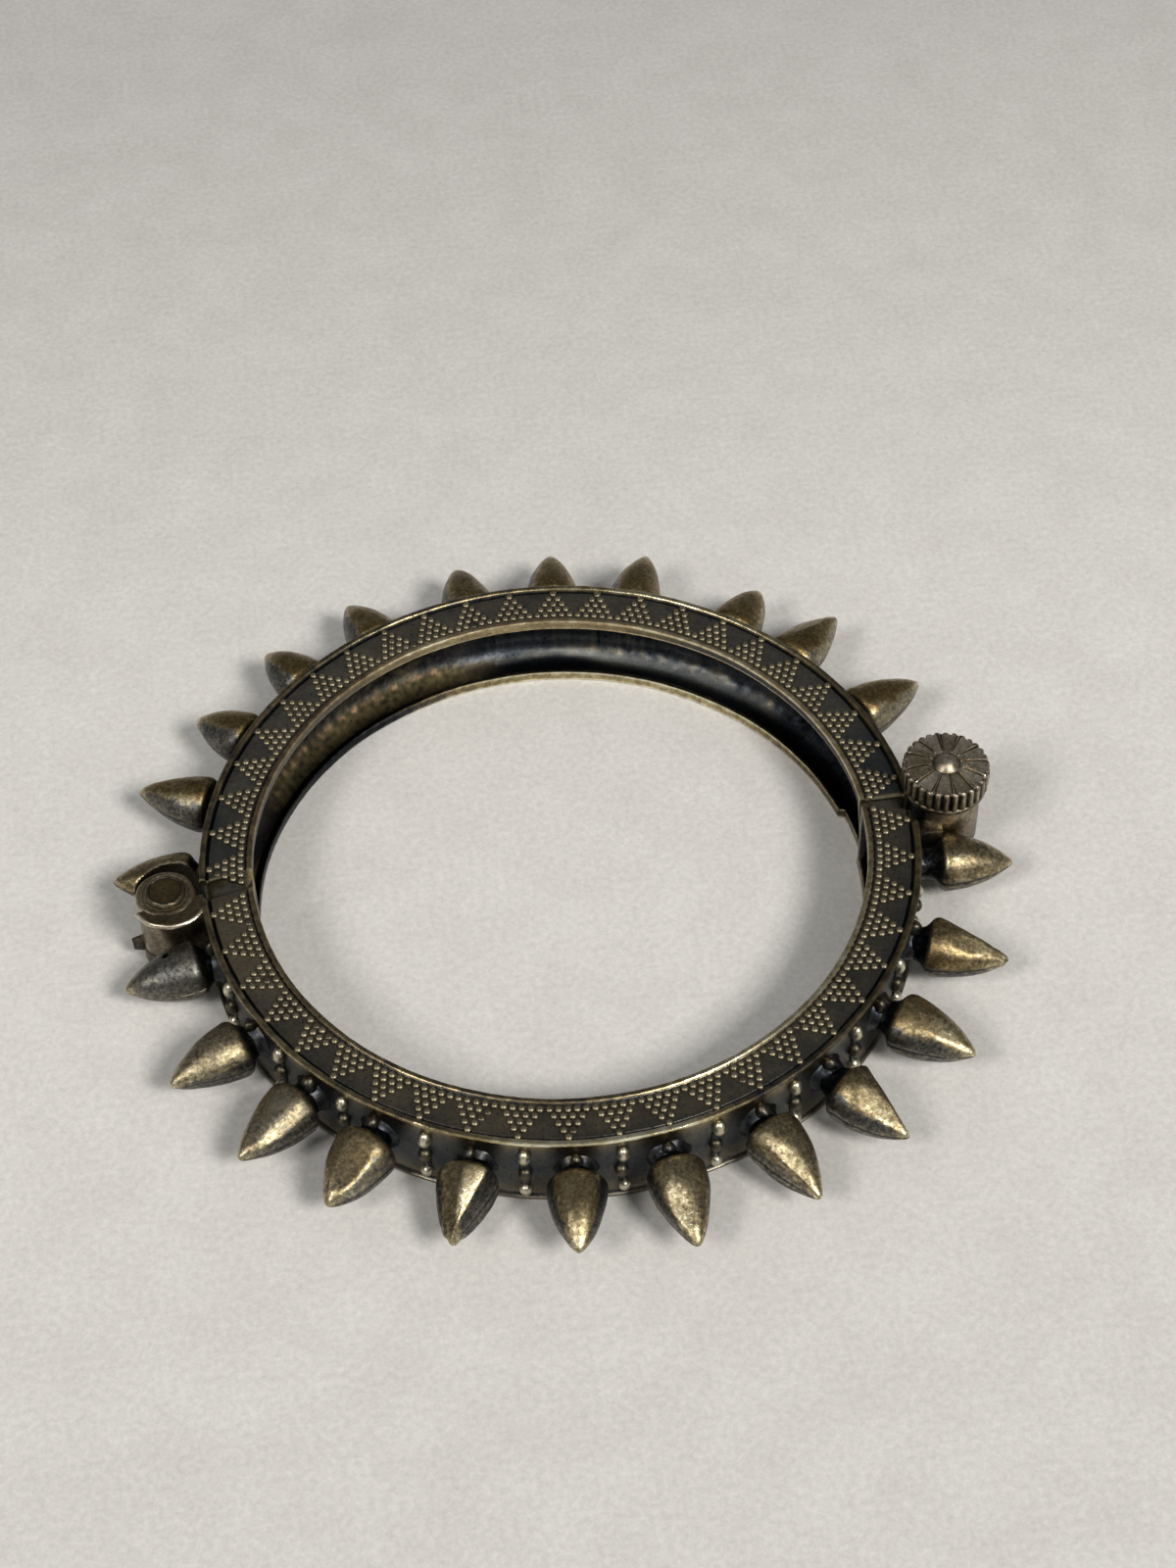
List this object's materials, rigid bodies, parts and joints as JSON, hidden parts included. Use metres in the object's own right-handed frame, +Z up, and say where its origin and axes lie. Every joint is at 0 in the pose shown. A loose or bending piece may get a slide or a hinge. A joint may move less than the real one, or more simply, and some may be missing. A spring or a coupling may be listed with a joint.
{
  "type": "spiked hinged bangle",
  "caption": "Hinged metal bangle: a channel-section ring edged with granule triangles, set round with hollow spikes, and closed by a riveted hinge and a screw clasp with a knurled knob.",
  "frame": {"origin": "the centre of the wrist opening, on the plane that the bangle's lower rim rests on", "axes": "+Z up along the wrist, -X to the hinge, +X to the clasp, +Y to the half ring that carries the lower knuckles"},
  "size_m": [0.088, 0.0883, 0.0132],
  "materials": {
    "aged_silver": "worn, with dark patina in the hollows",
    "dark_silver": "dark patina",
    "worn_silver": "worn bright on the edges"
  },
  "bodies": {
    "far_half": {"far_half": "aged_silver", "hinge_pin": "dark_silver"},
    "near_half": {"near_half": "aged_silver"},
    "clasp_screw": {"clasp_screw": "worn_silver"}
  },
  "joints": [
    {"name": "hinge", "type": "hinge", "parent": "far_half", "child": "near_half", "pos_m": [-0.0385, 0, 0], "axis": [0, 0, 1], "range_deg": [-70, 0]},
    {"name": "clasp_unscrew", "type": "slide", "parent": "near_half", "child": "clasp_screw", "axis": [0, 0, 1], "range_m": [0, 0.012]}
  ]
}
